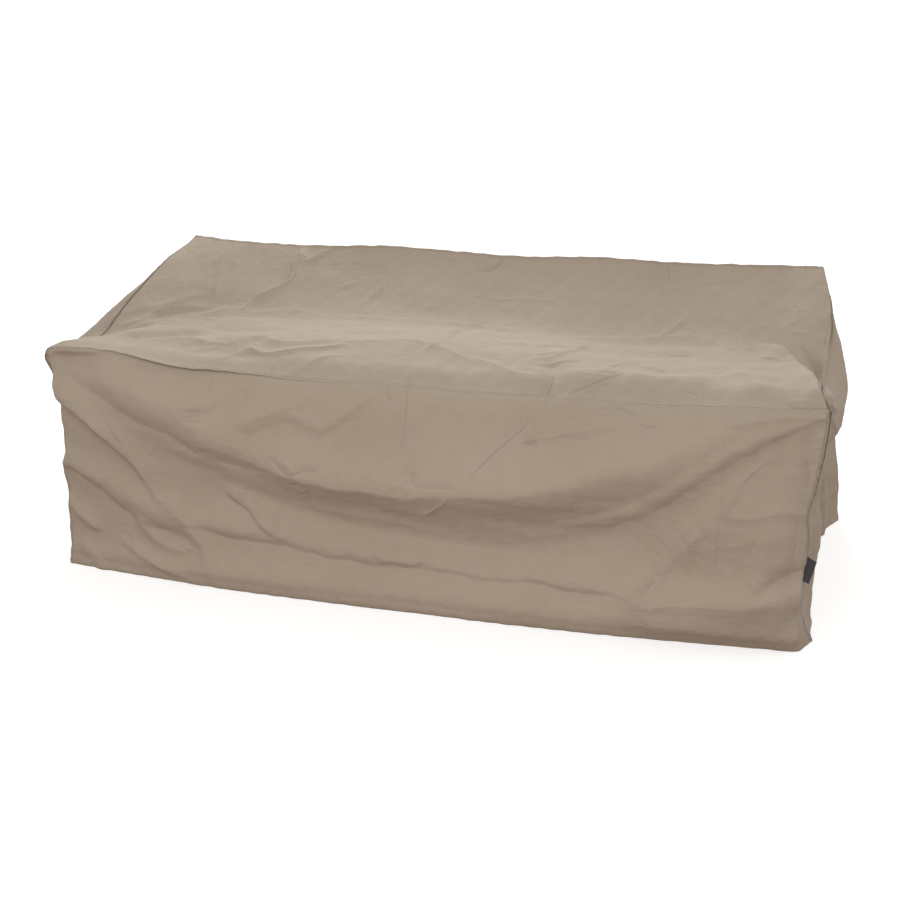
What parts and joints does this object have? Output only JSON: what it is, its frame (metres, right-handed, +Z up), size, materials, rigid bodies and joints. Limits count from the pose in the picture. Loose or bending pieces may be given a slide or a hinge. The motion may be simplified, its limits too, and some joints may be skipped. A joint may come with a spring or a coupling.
{
  "type": "outdoor sofa cover",
  "caption": "Fitted cover of coated canvas for an outdoor sofa, hollow and open below, with a low seat line in front, a sloping back and long sagging folds.",
  "frame": {"origin": "middle of the cover's footprint, on the floor that its hem just reaches", "axes": "+X along the sofa towards the viewer's right, -Y towards the front, +Z up"},
  "size_m": [2.392, 1.0841, 0.824],
  "materials": {
    "coated_canvas": "matt taupe coated canvas",
    "label_weave": "matt dark charcoal ribbon weave"
  },
  "bodies": {
    "root": {"front_panel": "coated_canvas", "top_panel": "coated_canvas", "back_panel": "coated_canvas", "left_end_panel": "coated_canvas", "right_end_panel": "coated_canvas", "woven_label": "label_weave"}
  },
  "joints": []
}
